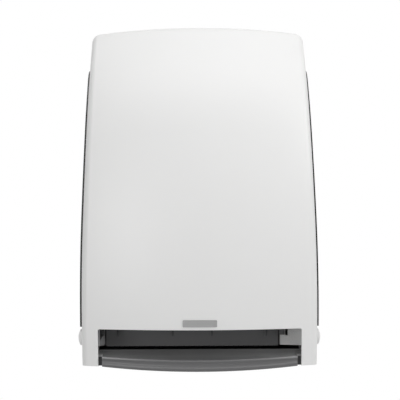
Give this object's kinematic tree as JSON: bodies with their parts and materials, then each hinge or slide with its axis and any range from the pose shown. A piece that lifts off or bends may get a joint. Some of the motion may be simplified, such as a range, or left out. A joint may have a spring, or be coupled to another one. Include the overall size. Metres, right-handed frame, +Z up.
{
  "type": "lever paper towel dispenser",
  "caption": "Wall-hung roll towel dispenser: a white curved cover with smoked sides over a push-down lever bar that feeds towel through rollers and gears.",
  "frame": {"origin": "middle of the four wall screw holes, on the wall face of the back plate", "axes": "+Z up, +Y into the wall, the front faces -Y, +X to the right as seen by someone facing the front"},
  "size_m": [0.3056, 0.225, 0.4327],
  "materials": {
    "cover_white": "glossy moulded white",
    "window_smoke": "dark smoked, glossy",
    "badge_grey": "bare grey plate",
    "bar_grey": "satin dark grey",
    "cheek_grey": "satin mid grey",
    "cheek_white": "satin white",
    "inner_black": "dark moulded",
    "guide_grey": "dark grey moulded",
    "gear_natural": "natural acetal",
    "roller_rubber": "black rubber",
    "steel": "bright steel"
  },
  "bodies": {
    "root": {"side_frame_left": "cheek_grey", "throat_cheek": "cheek_white", "back_plate": "inner_black", "side_frame_right": "inner_black", "gear_wall": "inner_black", "front_guide": "guide_grey", "rear_chute": "inner_black", "roll_arm_right": "cheek_grey", "roll_bracket": "cheek_grey", "latch_keeper_left": "gear_natural", "latch_keeper_right": "gear_natural", "lever_bushes": "gear_natural", "feed_bushes": "gear_natural", "lever_stops": "roller_rubber", "tear_blade": "steel", "pressure_rod": "steel", "idler_pin": "steel", "roll_arm_pin": "steel", "cover_hinge_pins": "steel", "frame_screws": "steel", "holder_screws": "steel", "keeper_screws": "steel", "lever_return_spring": "steel", "pressure_springs": "steel"},
    "cover": {"front_cover": "cover_white", "side_window_left": "window_smoke", "side_window_right": "window_smoke", "badge_plate": "badge_grey"},
    "button_left": {"release_button_left": "cover_white", "button_spring_left": "steel"},
    "button_right": {"release_button_right": "cover_white", "button_spring_right": "steel"},
    "lever": {"lever_bar": "bar_grey", "lever_arm_left": "inner_black", "lever_arm_right": "inner_black", "lever_shaft": "steel", "lever_screws": "steel", "sector_gear": "gear_natural"},
    "idler": {"idler_gear": "gear_natural"},
    "clutch": {"clutch_gear": "gear_natural"},
    "feed_roller": {"feed_shaft": "steel", "feed_roller_sleeves": "roller_rubber", "feed_wheel": "cheek_grey"},
    "pressure_carrier": {"pressure_frame": "inner_black", "pressure_shaft": "steel"},
    "pressure_roller": {"pressure_rollers": "roller_rubber"},
    "roll_arm": {"roll_arm_left": "cheek_grey"},
    "hub_left": {"roll_hub_left": "cheek_white"},
    "hub_right": {"roll_hub_right": "cheek_white"}
  },
  "joints": [
    {"name": "cover_swing", "type": "hinge", "parent": "root", "child": "cover", "pos_m": [0, -0.017, 0.211], "axis": [-1, 0, 0], "range_deg": [0, 78]},
    {"name": "button_left_press", "type": "slide", "parent": "cover", "child": "button_left", "axis": [1, 0, 0], "range_m": [0, 0.003], "stiffness_N_per_m": 400, "springref_m": -0.003},
    {"name": "button_right_press", "type": "slide", "parent": "cover", "child": "button_right", "axis": [-1, 0, 0], "range_m": [0, 0.003], "stiffness_N_per_m": 400, "springref_m": -0.003},
    {"name": "lever_press", "type": "hinge", "parent": "root", "child": "lever", "pos_m": [0, -0.06, -0.157], "axis": [1, 0, 0], "range_deg": [0, 15], "stiffness_Nm_per_rad": 2, "springref_deg": -17.19},
    {"name": "idler_turn", "type": "hinge", "parent": "root", "child": "idler", "pos_m": [0.117, -0.06339, -0.1001], "axis": [1, 0, 0], "range_deg": [-81, 1]},
    {"name": "clutch_turn", "type": "hinge", "parent": "root", "child": "clutch", "pos_m": [0.117, -0.098, -0.11], "axis": [1, 0, 0], "range_deg": [-1, 161]},
    {"name": "feed_roller_spin", "type": "hinge", "parent": "root", "child": "feed_roller", "pos_m": [0, -0.098, -0.11], "axis": [1, 0, 0], "continuous": true},
    {"name": "pressure_swing", "type": "hinge", "parent": "root", "child": "pressure_carrier", "pos_m": [0, -0.121, -0.075], "axis": [-1, 0, 0], "range_deg": [0, 8], "stiffness_Nm_per_rad": 0.6, "springref_deg": -17.19},
    {"name": "pressure_roller_spin", "type": "hinge", "parent": "pressure_carrier", "child": "pressure_roller", "pos_m": [0, -0.1263, -0.11], "axis": [1, 0, 0], "continuous": true},
    {"name": "roll_arm_swing", "type": "hinge", "parent": "root", "child": "roll_arm", "pos_m": [-0.1145, -0.014, 0.08], "axis": [0, 0, -1], "range_deg": [0, 10], "stiffness_Nm_per_rad": 1.2, "springref_deg": -11.46},
    {"name": "hub_left_spin", "type": "hinge", "parent": "roll_arm", "child": "hub_left", "pos_m": [-0.107, -0.112, 0.08], "axis": [1, 0, 0], "continuous": true},
    {"name": "hub_right_spin", "type": "hinge", "parent": "root", "child": "hub_right", "pos_m": [0.09, -0.112, 0.08], "axis": [1, 0, 0], "continuous": true}
  ],
  "couplings": [
    {"joint": "idler_turn", "follows": "lever_press", "ratio": -5.3333},
    {"joint": "clutch_turn", "follows": "lever_press", "ratio": 10.667},
    {"joint": "pressure_roller_spin", "follows": "feed_roller_spin", "ratio": -1.3083}
  ]
}
